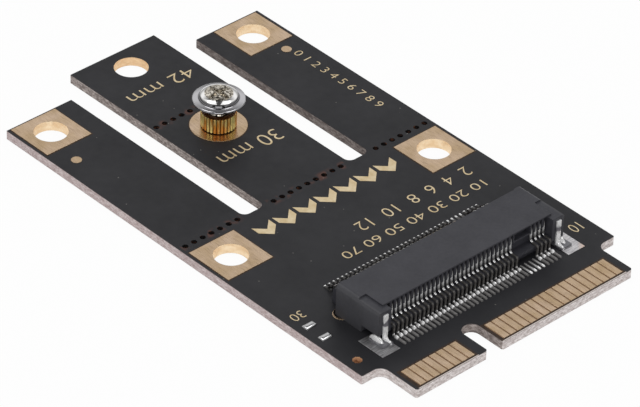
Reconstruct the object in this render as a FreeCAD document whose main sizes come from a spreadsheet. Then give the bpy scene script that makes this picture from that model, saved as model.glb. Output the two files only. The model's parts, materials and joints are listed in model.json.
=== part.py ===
import FreeCAD, Part
import math
import os
import re
import Sketcher

# An adapter card that carries a small flat solid-state drive card in its socket
# and plugs by its own gold edge contacts into a 30 mm wide card slot.
# Millimetres. +X runs from the drive's screw end to the edge contacts, +Y across
# the card, +Z up. The origin is under the middle of the card, on its underside.

SIZES = {
    # Board outline, measured from the tip of the edge tab
    "board_thick": 0.9,
    "copper_thick": 0.04,
    "shoulder_width": 2.2,
    "tab_depth": 4.3,
    "tab_corner": 0.15,
    "shoulder_round": 0.9,
    "outer_corner": 0.08,
    "slot_corner": 0.7,
    "notch_from_side": 8.2,
    "notch_width": 1.8,
    "notch_depth": 3.7,
    "notch_flat": 0.02,
    "centre_arm": 10.0,
    "arm_slot": 2.5,
    "nose_margin": 2.65,
    "arm_end_margin": 2.7,
    # Mounting holes for the two lengths of card slot
    "full_hole": 48.05,
    "half_hole": 23.9,
    "hole_inset": 2.9,
    "mount_hole": 3.15,
    "pad_edge_gap": 0.35,
    # Rows of small holes along which the board snaps shorter
    "half_card": 26.8,
    "break_gap": 0.6,
    "nose_break": 3.3,
    "bite_width": 0.58,
    "bite_pitch": 1.0,
    "outer_bites": 7,
    "centre_bites": 9,
    "nose_bites": 10,
    # Edge contacts
    "finger_pitch": 0.8,
    "finger_width": 0.65,
    "finger_length": 2.36,
    "finger_tip_gap": 0.27,
    "near_fingers": 8,
    "far_fingers": 18,
    "near_margin": 1.025,
    "notch_finger_gap": 0.72,
    "far_margin": 1.28,
    # The drive card that the socket takes
    "seat_from_tip": 9.2,
    "long_card": 42.0,
    "short_card": 30.0,
    "card_level": 1.65,
    "card_thick": 0.8,
    "card_width": 19.85,
    "card_clear": 0.05,
    # Socket contacts
    "contact_pitch": 0.5,
    "contact_width": 0.2,
    "contact_clear": 0.04,
    "strip_thick": 0.15,
    "rear_places": 38,
    "front_places": 37,
    "rear_near_group": 30,
    "front_near_group": 29,
    "key_places": 4,
    "contact_press": 0.15,
    "bump_reach": 1.3,
    "tip_reach": 0.45,
    "tip_lift": 0.25,
    "beam_rise": 0.23,
    "spine_reach": 1.64,
    "shelf_level": 1.2,
    "elbow_reach": 2.62,
    "heel_reach": 2.5,
    "rear_toe": 3.95,
    "lever_level": 1.35,
    "front_heel": 5.85,
    "front_toe": 6.1,
    "leg_gap": 0.03,
    # Socket housing, measured from the drive card's seat
    "socket_height": 3.2,
    "end_margin": 1.7,
    "jaw_reach": 4.15,
    "roof_reach": 2.65,
    "ear_reach": 2.75,
    "back_reach": 1.92,
    "block_reach": 2.55,
    "cheek_width": 0.42,
    "mouth_bevel": 0.25,
    "step_reach": 0.15,
    "step_drop": 0.17,
    "end_round": 0.45,
    "undercut_front": 0.45,
    "undercut_height": 0.7,
    "comb_depth": 0.5,
    "comb_lip": 0.14,
    "comb_floor": 1.1,
    "ledge_reach": 2.42,
    "ledge_low": 0.78,
    "groove_reach": 1.9,
    "jaw_groove_floor": 1.15,
    "jaw_groove_end": 0.35,
    "window_depth": 0.6,
    "window_bar_low": 2.15,
    "window_bar_high": 2.32,
    "pocket_floor": 1.45,
    "pocket_corner": 0.15,
    "peg_width": 1.2,
    "peg_clear": 0.2,
    "peg_reach": 2.45,
    "peg_length": 0.8,
    # Socket hold-downs and their lands
    "clip_thick": 0.15,
    "clip_width": 0.5,
    "clip_inset": 0.45,
    "clip_level": 2.7,
    "clip_foot_front": 0.85,
    "clip_foot_back": 0.7,
    "clip_foot_side": 0.3,
    "anchor_length": 3.0,
    "anchor_width": 2.0,
    "anchor_gap": 0.03,
    "anchor_reach": 2.75,
    # Standoff and screw
    "long_hole": 3.2,
    "standoff_land": 5.24,
    "standoff_width": 3.3,
    "spigot_width": 2.6,
    "spigot_clear": 0.03,
    "spigot_length": 0.85,
    "knurl_count": 30,
    "knurl_depth": 0.13,
    "screw_width": 2.0,
    "thread_clear": 0.02,
    "screw_length": 3.0,
    "screw_gap": 1.08,
    "collar_width": 4.82,
    "collar_thick": 0.25,
    "head_width": 3.68,
    "head_wall": 0.15,
    "crown_width": 3.24,
    "crown_level": 0.37,
    "crown_rise": 0.18,
    "recess_width": 0.42,
    "recess_length": 2.3,
    "recess_depth": 0.45,
    "recess_turn": 2.4,
    # Small lands and holes of the board
    "jumper_from_tip": 12.2,
    "jumper_spacing": 2.0,
    "jumper_length": 0.7,
    "jumper_width": 1.23,
    "jumper_inset": 1.32,
    "solder_thick": 0.12,
    "solder_bevel": 0.08,
    "point_width": 1.0,
    "near_point_from_tip": 43.28,
    "near_point_inset": 1.85,
    "far_point_from_tip": 44.2,
    "far_point_inset": 2.23,
    "tool_hole": 0.9,
    "tool_hole_from_tip": 6.15,
    "tool_hole_inset": 1.2,
}

# Sides of small round outlines: rough ones for tiny holes and pegs, finer ones
# where the round shows or fits another round
ROUGH_SIDES = 8
FINE_SIDES = 12

doc = FreeCAD.newDocument("drive_card_adapter")
sheet = doc.addObject("Spreadsheet::Sheet", "sizes")
for row, (alias, number) in enumerate(SIZES.items(), start=1):
    sheet.set(f"A{row}", alias)
    sheet.set(f"B{row}", str(number))
    sheet.setAlias(f"B{row}", alias)
doc.recompute()

# Places worked out from the driving sizes

WIDTH = (
    "(2 * shoulder_width + notch_from_side + notch_width + notch_finger_gap"
    " + (far_fingers - 1) * finger_pitch + far_margin)"
)
LENGTH = "(seat_from_tip + long_card + nose_margin)"
SIDE = f"({WIDTH} / 2)"
TIP = f"({LENGTH} / 2)"
NOSE = f"(-{LENGTH} / 2)"
BOARD_TOP = "(copper_thick + board_thick)"
SEAT = f"({TIP} - seat_from_tip)"
LONG_HOLE_X = f"({SEAT} - long_card)"
STANDOFF_X = f"({SEAT} - short_card)"
FULL_X = f"({TIP} - full_hole)"
HALF_X = f"({TIP} - half_hole)"
HOLE_Y = f"({SIDE} - hole_inset)"
BREAK_X = f"({TIP} - half_card - break_gap)"
SLOT_IN = "(centre_arm / 2)"
SLOT_OUT = "(centre_arm / 2 + arm_slot)"
SHOULDER_X = f"({TIP} - tab_depth)"
TAB_NEAR = f"(shoulder_width - {SIDE})"
TAB_FAR = f"({SIDE} - shoulder_width)"
NOTCH_NEAR = f"({TAB_NEAR} + notch_from_side)"
NOTCH_FAR = f"({NOTCH_NEAR} + notch_width)"
ARM_END = f"({FULL_X} - arm_end_margin)"
REAR_FIRST = "(-(rear_places - 1) * contact_pitch / 2)"
FRONT_FIRST = "(-(front_places - 1) * contact_pitch / 2)"
REAR_ROW = (REAR_FIRST, "rear_near_group", "(rear_places - rear_near_group - key_places)")
FRONT_ROW = (FRONT_FIRST, "front_near_group", "(front_places - front_near_group - key_places)")
SOCKET_END = f"(end_margin - {REAR_FIRST})"
CARD_SIDE = "(card_width / 2 + card_clear)"
CHEEK = f"({CARD_SIDE} - cheek_width)"
SLOT_FLOOR = "(card_level - card_clear)"
SLOT_ROOF = "(card_level + card_thick + card_clear)"
GROOVE_WIDTH = "contact_width + 2 * contact_clear"
COMB_TOP = "(socket_height - comb_lip)"
PEG_X = f"({SEAT} - peg_reach)"
PEG_Y = f"({SOCKET_END} - peg_width / 2)"
BEAM_FLOOR = f"({SLOT_ROOF} - contact_press)"


def bound(text):
    """The sheet's own form of an expression written with plain size names."""
    return re.sub(
        r"[a-z][a-z_]*",
        lambda word: "sizes." + word.group() if word.group() in SIZES else word.group(),
        text,
    )


def value(text):
    """The number that an expression gives now."""
    return float(sheet.evalExpression(bound(text)))


def new_body(label, x="0", y="0", z="0"):
    """A body of its own, placed by the sheet."""
    body = doc.addObject("PartDesign::Body", label)
    body.Label = label
    body.AllowCompound = True
    body.setExpression("Placement.Base.x", bound(x))
    body.setExpression("Placement.Base.y", bound(y))
    body.setExpression("Placement.Base.z", bound(z))
    return body


def origin_part(body, role):
    """One of the body's own origin planes or axes."""
    return next(item for item in body.Origin.OriginFeatures if item.Role == role)


def new_sketch(body, name, plane, shift="0"):
    """A sketch on one of the body's origin planes, moved along its normal."""
    sketch = body.newObject("Sketcher::SketchObject", name)
    sketch.AttachmentSupport = [(origin_part(body, plane), "")]
    sketch.MapMode = "FlatFace"
    sketch.setExpression("AttachmentOffset.Base.z", bound(shift))
    return sketch


def pin(sketch, points, end):
    """Dimension one point of each line or circle of a sketch from its origin."""
    wanted = []
    for index, (x, y) in enumerate(points):
        wanted.append((Sketcher.Constraint("DistanceX", -1, 1, index, end, value(x)), x))
        wanted.append((Sketcher.Constraint("DistanceY", -1, 1, index, end, value(y)), y))
    numbers = sketch.addConstraint([constraint for constraint, text in wanted])
    for number, (constraint, text) in zip(numbers, wanted):
        sketch.setExpression(f"Constraints[{number}]", bound(text))


def polygon(body, name, plane, corners, shift="0"):
    """A closed outline of straight lines with every corner dimensioned."""
    sketch = new_sketch(body, name, plane, shift)
    points = [FreeCAD.Vector(value(x), value(y), 0) for x, y in corners]
    count = len(points)
    sides = [Part.LineSegment(points[i], points[(i + 1) % count]) for i in range(count)]
    sketch.addGeometry(sides, False)
    joins = [Sketcher.Constraint("Coincident", i, 2, (i + 1) % count, 1) for i in range(count)]
    sketch.addConstraint(joins)
    pin(sketch, corners, 1)
    return sketch


def rectangle(body, name, plane, low, high, shift="0"):
    """A rectangle between two opposite corners."""
    (x0, y0), (x1, y1) = low, high
    return polygon(body, name, plane, [(x0, y0), (x1, y0), (x1, y1), (x0, y1)], shift)


def circles(body, name, plane, centres, width, shift="0"):
    """Circles of one width about the given centres."""
    sketch = new_sketch(body, name, plane, shift)
    radius = f"({width}) / 2"
    for index, (x, y) in enumerate(centres):
        centre = FreeCAD.Vector(value(x), value(y), 0)
        sketch.addGeometry(Part.Circle(centre, FreeCAD.Vector(0, 0, 1), value(radius)), False)
        size = sketch.addConstraint(Sketcher.Constraint("Radius", index, value(radius)))
        sketch.setExpression(f"Constraints[{size}]", bound(radius))
    pin(sketch, centres, 3)
    return sketch


def many_sided(body, name, plane, place, width, sides, shift="0"):
    """A regular outline of few sides, for small round things that repeat or hardly show."""
    x, y = place
    turns = [2 * math.pi * (step + 0.5) / sides for step in range(sides)]
    corners = [
        (f"{x} + {math.cos(turn):.6f} * ({width}) / 2", f"{y} + {math.sin(turn):.6f} * ({width}) / 2")
        for turn in turns
    ]
    return polygon(body, name, plane, corners, shift)


def feature(body, kind, name, sketch, length, side="One side", reverse=False):
    """A pad or pocket of a sketch."""
    made = body.newObject(f"PartDesign::{kind}", name)
    made.Profile = sketch
    made.SideType = side
    made.Reversed = reverse
    made.setExpression("Length", bound(length))
    body.Tip = made
    return made


def drill(body, name, sketch):
    """A pocket right through the body, both ways from its sketch."""
    made = body.newObject("PartDesign::Pocket", name)
    made.Profile = sketch
    made.SideType = "Symmetric"
    made.Type = "ThroughAll"
    body.Tip = made
    return made


def repeat(body, name, original, pitch, count):
    """Copies of one feature in a row along +Y."""
    row = body.newObject("PartDesign::LinearPattern", name)
    row.Originals = [original]
    row.Direction = (origin_part(body, "Y_Axis"), [""])
    row.Mode = "Spacing"
    row.setExpression("Offset", bound(pitch))
    row.setExpression("Occurrences", bound(count))
    body.Tip = row
    return row


def mirror(body, name, originals):
    """The same features on the other side of the card's middle plane."""
    copy = body.newObject("PartDesign::Mirrored", name)
    copy.Originals = originals
    copy.MirrorPlane = (origin_part(body, "XZ_Plane"), [""])
    body.Tip = copy
    return copy


def ease_edges(body, name, base, wanted, size, kind="Fillet"):
    """Round or bevel the base feature's edges that a test picks out."""
    doc.recompute()
    names = [f"Edge{i}" for i, edge in enumerate(base.Shape.Edges, start=1) if wanted(edge)]
    made = body.newObject(f"PartDesign::{kind}", name)
    made.Base = (base, names)
    made.setExpression("Radius" if kind == "Fillet" else "Size", bound(size))
    body.Tip = made
    return made


def upright_at(places):
    """A test for upright edges that stand at the given places of the plan."""
    spots = [(value(x), value(y)) for x, y in places]

    def wanted(edge):
        box = edge.BoundBox
        if box.ZLength < 1e-6 or box.XLength > 1e-6 or box.YLength > 1e-6:
            return False
        return any(abs(box.XMin - x) < 1e-4 and abs(box.YMin - y) < 1e-4 for x, y in spots)

    return wanted


def row_groups(row):
    """Name, first place and count of the two groups of a contact row, parted by the key."""
    first, near_count, far_count = row
    far_first = f"({first} + ({near_count} + key_places) * contact_pitch)"
    return ("near", first, near_count), ("far", far_first, far_count)


def row_start(count, pitch, middle):
    """Place of the first of a row of equal steps about its middle."""
    return f"({middle} - ({count} - 1) * {pitch} / 2)"


# Board: two open slots leave three arms at the screw end, and the other end
# narrows to the notched tab that goes into the host's slot

board = new_body("board", z="copper_thick")
outline = polygon(board, "board_outline", "XY_Plane", [
    (NOSE, f"-{SLOT_IN}"), (BREAK_X, f"-{SLOT_IN}"),
    (BREAK_X, f"-{SLOT_OUT}"), (ARM_END, f"-{SLOT_OUT}"),
    (ARM_END, f"-{SIDE}"), (SHOULDER_X, f"-{SIDE}"),
    (SHOULDER_X, TAB_NEAR), (TIP, TAB_NEAR),
    (TIP, NOTCH_NEAR), (f"{TIP} - notch_depth", NOTCH_NEAR),
    (f"{TIP} - notch_depth", NOTCH_FAR), (TIP, NOTCH_FAR),
    (TIP, TAB_FAR), (SHOULDER_X, TAB_FAR),
    (SHOULDER_X, SIDE), (ARM_END, SIDE),
    (ARM_END, SLOT_OUT), (BREAK_X, SLOT_OUT),
    (BREAK_X, SLOT_IN), (NOSE, SLOT_IN),
])
plate = feature(board, "Pad", "plate", outline, "board_thick")

tab_ends = [(TIP, TAB_NEAR), (TIP, NOTCH_NEAR), (TIP, NOTCH_FAR), (TIP, TAB_FAR)]
shoulders = [(SHOULDER_X, TAB_NEAR), (SHOULDER_X, TAB_FAR)]
outer_ends = [(SHOULDER_X, f"-{SIDE}"), (SHOULDER_X, SIDE)]
slot_ends = [(BREAK_X, f"{sign}{edge}") for sign in ("", "-") for edge in (SLOT_IN, SLOT_OUT)]
notch_ends = [(f"{TIP} - notch_depth", NOTCH_NEAR), (f"{TIP} - notch_depth", NOTCH_FAR)]
shaped = ease_edges(board, "tab_corners", plate, upright_at(tab_ends), "tab_corner", "Chamfer")
shaped = ease_edges(board, "shoulder_rounds", shaped, upright_at(shoulders), "shoulder_round")
shaped = ease_edges(board, "outer_corners", shaped, upright_at(outer_ends), "outer_corner", "Chamfer")
shaped = ease_edges(board, "slot_rounds", shaped, upright_at(slot_ends), "slot_corner")
shaped = ease_edges(board, "notch_round", shaped, upright_at(notch_ends), "(notch_width - notch_flat) / 2")

mount_places = [(x, f"{sign}{HOLE_Y}") for x in (FULL_X, HALF_X) for sign in ("-", "")]
for name, places, width in (
    ("mount_drillings", mount_places, "mount_hole + 2 * copper_thick"),
    ("long_card_drilling", [(LONG_HOLE_X, "0")], "long_hole"),
    ("standoff_drilling", [(STANDOFF_X, "0")], "spigot_width + 2 * spigot_clear"),
):
    drill(board, name, circles(board, f"{name}_plan", "XY_Plane", places, width))
for name, place, width in (
    ("near_peg_drilling", (PEG_X, f"-{PEG_Y}"), "peg_width + 2 * peg_clear"),
    ("far_peg_drilling", (PEG_X, PEG_Y), "peg_width + 2 * peg_clear"),
    ("tool_drilling", (f"{TIP} - tool_hole_from_tip", f"tool_hole_inset - {SIDE}"), "tool_hole"),
):
    drill(board, name, many_sided(board, f"{name}_plan", "XY_Plane", place, width, ROUGH_SIDES))

arm_middle = f"(({SIDE} + {SLOT_OUT}) / 2)"
for name, x, middle, count in (
    ("near_bites", BREAK_X, f"-{arm_middle}", "outer_bites"),
    ("centre_bites", BREAK_X, "0", "centre_bites"),
    ("far_bites", BREAK_X, arm_middle, "outer_bites"),
    ("nose_bites", f"({STANDOFF_X} - nose_break)", "0", "nose_bites"),
):
    first = (x, row_start(count, "bite_pitch", middle))
    plan = many_sided(board, f"{name}_plan", "XY_Plane", first, "bite_width", ROUGH_SIDES)
    bite = drill(board, f"{name}_first", plan)
    repeat(board, f"{name}_row", bite, "bite_pitch", count)

# Plated holes: a copper barrel through the board with a land on each face


def plated_hole(label, x, y):
    """A lined hole with a square land on each face that stops short of the board's long edge."""
    body = new_body(label, x, y)
    centre = [("0", "0")]
    barrel_width = "mount_hole + 2 * copper_thick"
    barrel = circles(body, f"{label}_barrel", "XY_Plane", centre, barrel_width, "copper_thick")
    feature(body, "Pad", f"{label}_lining", barrel, "board_thick")
    half = "(hole_inset - pad_edge_gap)"
    for face_name, level in (("under", "0"), ("over", BOARD_TOP)):
        name = f"{label}_{face_name}"
        land = rectangle(body, name, "XY_Plane", (f"-{half}", f"-{half}"), (half, half), level)
        feature(body, "Pad", f"{name}_land", land, "copper_thick")
    drill(body, f"{label}_bore", circles(body, f"{label}_bore_plan", "XY_Plane", centre, "mount_hole"))
    return body


parts = [board]
for length_name, x in (("full", FULL_X), ("half", HALF_X)):
    for side_name, sign in (("near", "-"), ("far", "")):
        label = f"plated_hole_{length_name}_{side_name}"
        parts.append(plated_hole(label, x, f"{sign}{HOLE_Y}"))

# The ring on which the standoff's shoulder stands
ring = new_body("standoff_land", STANDOFF_X, "0", BOARD_TOP)
centre = [("0", "0")]
ring_plan = circles(ring, "ring_plan", "XY_Plane", centre, "standoff_land")
feature(ring, "Pad", "ring_plate", ring_plan, "copper_thick")
spigot_hole = circles(ring, "ring_bore_plan", "XY_Plane", centre, "spigot_width + 2 * spigot_clear")
drill(ring, "ring_bore", spigot_hole)
parts.append(ring)

# Edge contacts: two groups of gold fingers on each face, parted by the notch


def edge_contacts(label, level):
    """One face's fingers, placed at that face."""
    body = new_body(label, z=level)
    tip_side = f"({TIP} - finger_tip_gap)"
    root_side = f"({tip_side} - finger_length)"
    for name, first, count in (
        ("near", f"({TAB_NEAR} + near_margin)", "near_fingers"),
        ("far", f"({NOTCH_FAR} + notch_finger_gap)", "far_fingers"),
    ):
        low = (root_side, f"{first} - finger_width / 2")
        high = (tip_side, f"{first} + finger_width / 2")
        plan = rectangle(body, f"{label}_{name}_plan", "XY_Plane", low, high)
        finger = feature(body, "Pad", f"{label}_{name}_finger", plan, "copper_thick")
        repeat(body, f"{label}_{name}_row", finger, "finger_pitch", count)
    return body


parts.append(edge_contacts("edge_contacts_top", BOARD_TOP))
parts.append(edge_contacts("edge_contacts_bottom", "0"))

# Socket housing: a C-shaped section whose mouth faces the arms, closed by an end
# block on each side; the back wall and both jaws are grooved for the contacts

housing = new_body("socket_housing", SEAT, "0", BOARD_TOP)
jaws = feature(housing, "Pad", "jaws", polygon(housing, "jaw_section", "XZ_Plane", [
    ("-jaw_reach", "0"), ("back_reach", "0"),
    ("back_reach", "socket_height"), ("-roof_reach", "socket_height"),
    ("-roof_reach", f"{SLOT_ROOF} + mouth_bevel"), ("mouth_bevel - roof_reach", SLOT_ROOF),
    ("0", SLOT_ROOF), ("0", SLOT_FLOOR),
    ("mouth_bevel - jaw_reach", SLOT_FLOOR), ("-jaw_reach", f"{SLOT_FLOOR} - mouth_bevel"),
]), f"2 * {CARD_SIDE}", "Symmetric")
block_section = polygon(housing, "block_section", "XZ_Plane", [
    ("-ear_reach", "0"), ("undercut_front", "0"),
    ("undercut_front", "undercut_height"), ("block_reach", "undercut_height"),
    ("block_reach", "socket_height"), ("-ear_reach", "socket_height"),
], CARD_SIDE)
block_width = f"{SOCKET_END} - {CARD_SIDE}"
near_block = feature(housing, "Pad", "near_block", block_section, block_width)
blocks = mirror(housing, "far_block", [near_block])


def block_top_edge(edge):
    """The top edge along the outer face of each end block."""
    box = edge.BoundBox
    outside = abs(abs(box.YMin) - value(SOCKET_END)) < 1e-4 and box.YLength < 1e-6
    return outside and abs(box.ZMin - value("socket_height")) < 1e-4


ease_edges(housing, "end_rounds", blocks, block_top_edge, "end_round")
step_section = rectangle(
    housing, "step_section", "XZ_Plane",
    ("-step_reach", "socket_height - step_drop"), ("2 * block_reach", "2 * socket_height"), CARD_SIDE,
)
near_step = feature(housing, "Pocket", "near_step", step_section, block_width, reverse=True)
mirror(housing, "far_step", [near_step])
peg_place = ("-peg_reach", f"-{PEG_Y}")
peg_plan = many_sided(housing, "peg_plan", "XY_Plane", peg_place, "peg_width", ROUGH_SIDES)
near_peg = feature(housing, "Pad", "near_peg", peg_plan, "peg_length", reverse=True)
mirror(housing, "far_peg", [near_peg])

# Behind the jaws each end block has a cheek, and a ledge runs between the cheeks
# under the contacts
cheek_section = rectangle(
    housing, "cheek_section", "XZ_Plane",
    ("back_reach", "undercut_height"), ("block_reach", "socket_height - step_drop"), CHEEK,
)
near_cheek = feature(housing, "Pad", "near_cheek", cheek_section, "cheek_width")
mirror(housing, "far_cheek", [near_cheek])
ledge_section = rectangle(
    housing, "ledge_section", "XZ_Plane", ("back_reach", "ledge_low"), ("ledge_reach", "comb_floor")
)
feature(housing, "Pad", "contact_ledge", ledge_section, f"2 * {CHEEK}", "Symmetric")


def grooves(name, corners, row):
    """A row of contact grooves with the key's places left out."""
    for group, start, count in row_groups(row):
        section = polygon(housing, f"{name}_{group}_section", "XZ_Plane", corners, f"-{start}")
        groove = feature(housing, "Pocket", f"{name}_{group}", section, GROOVE_WIDTH, "Symmetric")
        repeat(housing, f"{name}_{group}_row", groove, "contact_pitch", count)


comb_front = "(back_reach - comb_depth)"
beyond_back = "(block_reach + comb_depth)"
grooves("comb", [
    ("-groove_reach", BEAM_FLOOR), (comb_front, BEAM_FLOOR),
    (comb_front, "comb_floor"), (beyond_back, "comb_floor"),
    (beyond_back, COMB_TOP), ("-groove_reach", COMB_TOP),
], REAR_ROW)
grooves("jaw", [
    ("-jaw_reach - jaw_groove_end", "jaw_groove_floor"), ("-jaw_groove_end", "jaw_groove_floor"),
    ("-jaw_groove_end", SLOT_ROOF), ("-jaw_reach - jaw_groove_end", SLOT_ROOF),
], FRONT_ROW)

# The comb's ribs stop above a recess in which the contacts bend outwards, the key's
# places are a window over a bar, and a pocket stands at each end of the comb
comb_side = f"(contact_pitch / 2 - {REAR_FIRST})"
key_low = f"({REAR_FIRST} + (rear_near_group - 1 / 2) * contact_pitch + contact_clear)"
key_high = f"({key_low} + key_places * contact_pitch - 2 * contact_clear)"
for name, low, high, depth in (
    ("contact_recess", (f"-{comb_side}", "comb_floor"), (comb_side, "window_bar_low"), "comb_depth"),
    ("key_window", (key_low, "window_bar_high"), (key_high, COMB_TOP), "window_depth"),
):
    opening = rectangle(housing, f"{name}_plan", "YZ_Plane", low, high, "back_reach")
    feature(housing, "Pocket", name, opening, depth)
pocket_in = f"(-{REAR_FIRST} - ({GROOVE_WIDTH}) / 2)"
for name, sign in (("near_pocket", "-"), ("far_pocket", "")):
    opening = polygon(housing, f"{name}_plan", "YZ_Plane", [
        (f"{sign}{pocket_in}", "pocket_floor"),
        (f"{sign}{CHEEK}", "pocket_floor"),
        (f"{sign}{CHEEK}", f"{COMB_TOP} - pocket_corner"),
        (f"{sign}({CHEEK} - pocket_corner)", COMB_TOP),
        (f"{sign}({pocket_in} + pocket_corner)", COMB_TOP),
        (f"{sign}{pocket_in}", f"{COMB_TOP} - pocket_corner"),
    ], "back_reach")
    feature(housing, "Pocket", name, opening, "window_depth")
parts.append(housing)

# Socket contacts: strips bent to spring on the drive card, each with a foot on its land


def contact_row(label, corners, row):
    """Every contact of one row, as separate strips."""
    body = new_body(label, SEAT, "0", BOARD_TOP)
    for group, start, count in row_groups(row):
        section = polygon(body, f"{label}_{group}_section", "XZ_Plane", corners, f"-{start}")
        strip = feature(body, "Pad", f"{label}_{group}", section, "contact_width", "Symmetric")
        repeat(body, f"{label}_{group}_row", strip, "contact_pitch", count)
    return body


half_strip = "strip_thick / 2"
bump_low = "(card_level + card_thick - contact_press)"
beam = "(card_level + card_thick + beam_rise)"
rear_tip = "(-bump_reach - tip_reach)"
parts.append(contact_row("socket_contacts_rear", [
    (rear_tip, f"{bump_low} + tip_lift + strip_thick"),
    ("-bump_reach", f"{bump_low} + strip_thick"),
    (f"spine_reach + {half_strip}", f"{beam} + {half_strip}"),
    (f"spine_reach + {half_strip}", f"shelf_level + {half_strip}"),
    ("elbow_reach", f"shelf_level + {half_strip}"),
    ("heel_reach + strip_thick", "strip_thick"),
    ("rear_toe", "strip_thick"),
    ("rear_toe", "0"),
    ("heel_reach", "0"),
    ("elbow_reach - strip_thick", f"shelf_level - {half_strip}"),
    (f"spine_reach - {half_strip}", f"shelf_level - {half_strip}"),
    (f"spine_reach - {half_strip}", f"{beam} - {half_strip}"),
    ("-bump_reach", bump_low),
    (rear_tip, f"{bump_low} + tip_lift"),
], REAR_ROW))

leg_inside = "(-jaw_reach - leg_gap)"
leg_outside = f"({leg_inside} - strip_thick)"
bump_high = "(card_level + contact_press)"
front_tip = "(tip_reach - bump_reach)"
parts.append(contact_row("socket_contacts_front", [
    ("-front_toe", "strip_thick"),
    ("-front_heel", "strip_thick"),
    (leg_outside, f"lever_level + {half_strip}"),
    ("-bump_reach", bump_high),
    (front_tip, f"{bump_high} - tip_lift"),
    (front_tip, f"{bump_high} - tip_lift - strip_thick"),
    ("-bump_reach", f"{bump_high} - strip_thick"),
    (leg_inside, f"lever_level - {half_strip}"),
    ("strip_thick - front_heel", "0"),
    ("-front_toe", "0"),
], FRONT_ROW))

# Hold-downs: a metal clip up the back of each end block with its foot on a land

clip_middle = f"({SOCKET_END} - clip_inset - clip_width / 2)"
clip_front = "(block_reach - clip_foot_front)"
clip_back = "(block_reach + clip_thick + clip_foot_back)"
clip_out = f"({SOCKET_END} + clip_foot_side)"
for side_name, sign in (("near", "-"), ("far", "")):
    label = f"hold_down_{side_name}"
    clip = new_body(label, SEAT, "0", BOARD_TOP)
    upright_shift = clip_middle if sign == "-" else f"-{clip_middle}"
    upright = rectangle(
        clip, f"{label}_upright_section", "XZ_Plane",
        ("block_reach", "copper_thick"), ("block_reach + clip_thick", "clip_level"),
        upright_shift,
    )
    feature(clip, "Pad", f"{label}_upright", upright, "clip_width", "Symmetric")
    foot = rectangle(
        clip, f"{label}_foot_plan", "XY_Plane",
        (clip_front, f"{sign}({clip_middle} - clip_width / 2)"), (clip_back, f"{sign}{clip_out}"),
        "copper_thick",
    )
    feature(clip, "Pad", f"{label}_foot", foot, "clip_thick")
    parts.append(clip)

# Lands of the hold-downs, clear of the jaws between the end blocks

for side_name, sign in (("near", "-"), ("far", "")):
    label = f"hold_down_land_{side_name}"
    middle = f"({CARD_SIDE} + anchor_gap + anchor_width / 2)"
    anchor = new_body(label, f"{SEAT} + anchor_reach", f"{sign}{middle}", BOARD_TOP)
    plan = rectangle(
        anchor, f"{label}_plan", "XY_Plane",
        ("-anchor_length / 2", "-anchor_width / 2"), ("anchor_length / 2", "anchor_width / 2"),
    )
    feature(anchor, "Pad", f"{label}_plate", plan, "copper_thick")
    parts.append(anchor)

# Standoff: a knurled brass nut whose spigot goes through the board

standoff = new_body("standoff", STANDOFF_X, "0", BOARD_TOP)
teeth = SIZES["knurl_count"]
knurl = []
for step in range(2 * teeth):
    turn = math.pi * step / teeth
    reach = "standoff_width / 2" if step % 2 == 0 else "(standoff_width / 2 - knurl_depth)"
    knurl.append((f"{math.cos(turn):.6f} * {reach}", f"{math.sin(turn):.6f} * {reach}"))
barrel_plan = polygon(standoff, "barrel_plan", "XY_Plane", knurl, "copper_thick")
feature(standoff, "Pad", "barrel", barrel_plan, "card_level - copper_thick")
spigot_plan = many_sided(
    standoff, "spigot_plan", "XY_Plane", ("0", "0"), "spigot_width", FINE_SIDES, "copper_thick"
)
feature(standoff, "Pad", "spigot", spigot_plan, "spigot_length", reverse=True)
bore_plan = circles(standoff, "bore_plan", "XY_Plane", centre, "screw_width + 2 * thread_clear")
drill(standoff, "thread_bore", bore_plan)
parts.append(standoff)

# Screw: a collared pan head with a cross recess, left standing off its nut

screw = new_body("screw", STANDOFF_X, "0", f"{BOARD_TOP} + card_level + screw_gap")
head_side = "head_width / 2"
collar_side = "collar_width / 2"
head_top = "(collar_thick + crown_level + crown_rise)"
section = polygon(screw, "screw_section", "XZ_Plane", [
    ("0", "0"),
    (collar_side, "0"),
    (collar_side, "collar_thick"),
    (head_side, "collar_thick"),
    (head_side, "collar_thick + head_wall"),
    ("crown_width / 2", "collar_thick + crown_level"),
    ("0", head_top),
])
turned = screw.newObject("PartDesign::Revolution", "turned_screw")
turned.Profile = section
turned.ReferenceAxis = (section, ["V_Axis"])
turned.Angle = 360
screw.Tip = turned
shank = many_sided(screw, "shank_plan", "XY_Plane", ("0", "0"), "screw_width", FINE_SIDES)
feature(screw, "Pad", "shank", shank, "screw_length", reverse=True)
cross_corners = []
for quarter in range(4):
    turn = f"((recess_turn + {90 * quarter}) * 1 deg)"
    for along, across in (("recess_length", "-recess_width"), ("recess_length", "recess_width"),
                          ("recess_width", "recess_width")):
        cross_corners.append((
            f"({along} * cos{turn} - ({across}) * sin{turn}) / 2",
            f"({along} * sin{turn} + ({across}) * cos{turn}) / 2",
        ))
cross = polygon(screw, "recess_plan", "XY_Plane", cross_corners, head_top)
feature(screw, "Pocket", "cross_recess", cross, "recess_depth")
parts.append(screw)

# Two bare solder lands beside the socket and two test points on the outer arms

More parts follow.
